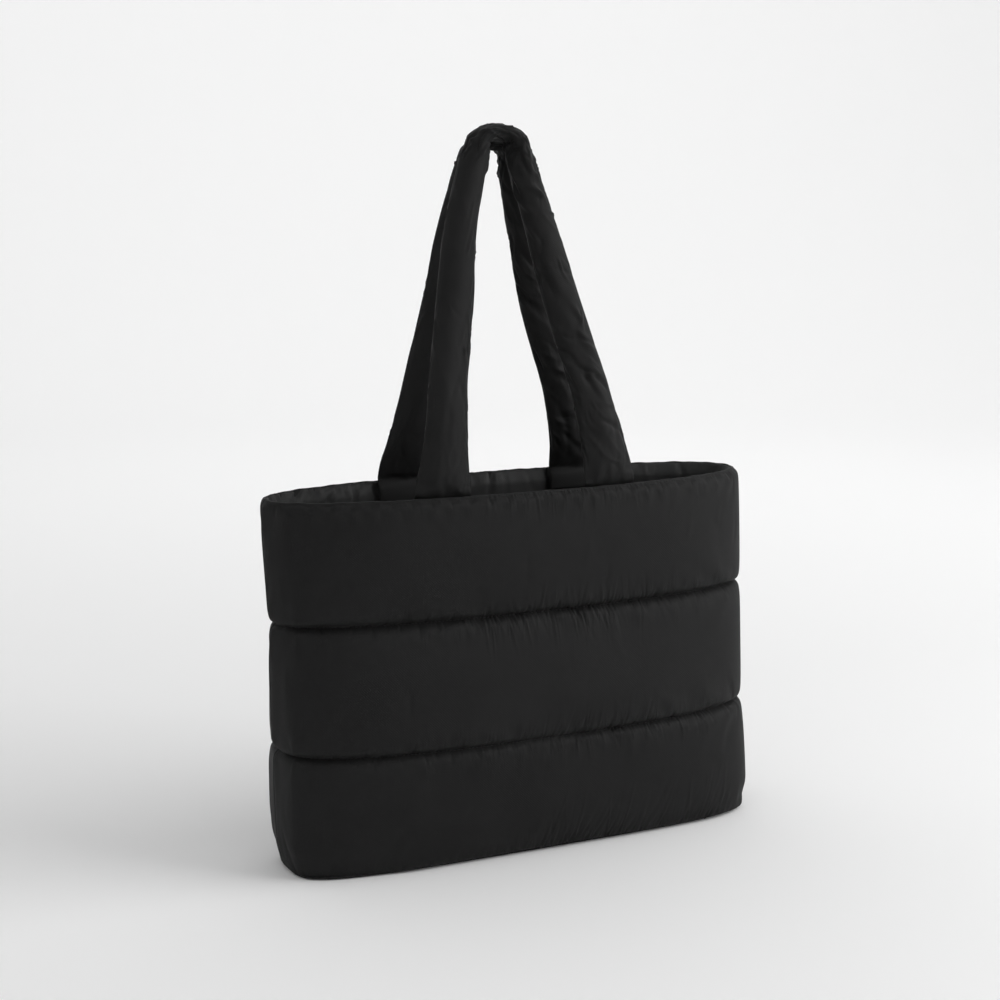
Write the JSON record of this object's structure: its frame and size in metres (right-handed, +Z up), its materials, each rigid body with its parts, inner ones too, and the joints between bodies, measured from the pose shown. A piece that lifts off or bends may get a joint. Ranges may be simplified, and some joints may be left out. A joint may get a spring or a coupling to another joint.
{
  "type": "puffer tote bag",
  "caption": "Soft open-top tote bag with padded walls quilted into wide horizontal channels, a flat base and two padded tube handles meeting above the mouth.",
  "frame": {"origin": "middle of the flat base on the surface that the bag stands on", "axes": "+Z up, +X across the bag from its left side seam to its right, -Y out of the front wall"},
  "size_m": [0.4637, 0.1494, 0.632],
  "materials": {
    "shell": "black plain-woven nylon over wadding, soft low sheen, puckered along its seams",
    "base": "black plain-woven nylon over a thin pad, soft low sheen",
    "lining": "black thin woven lining, matt, gathered",
    "handle": "black plain-woven nylon tube over wadding, soft low sheen, lengthwise folds"
  },
  "bodies": {
    "root": {"front_panel": "shell", "back_panel": "shell", "base_panel": "base", "lining": "lining", "front_handle": "handle", "back_handle": "handle"}
  },
  "joints": []
}
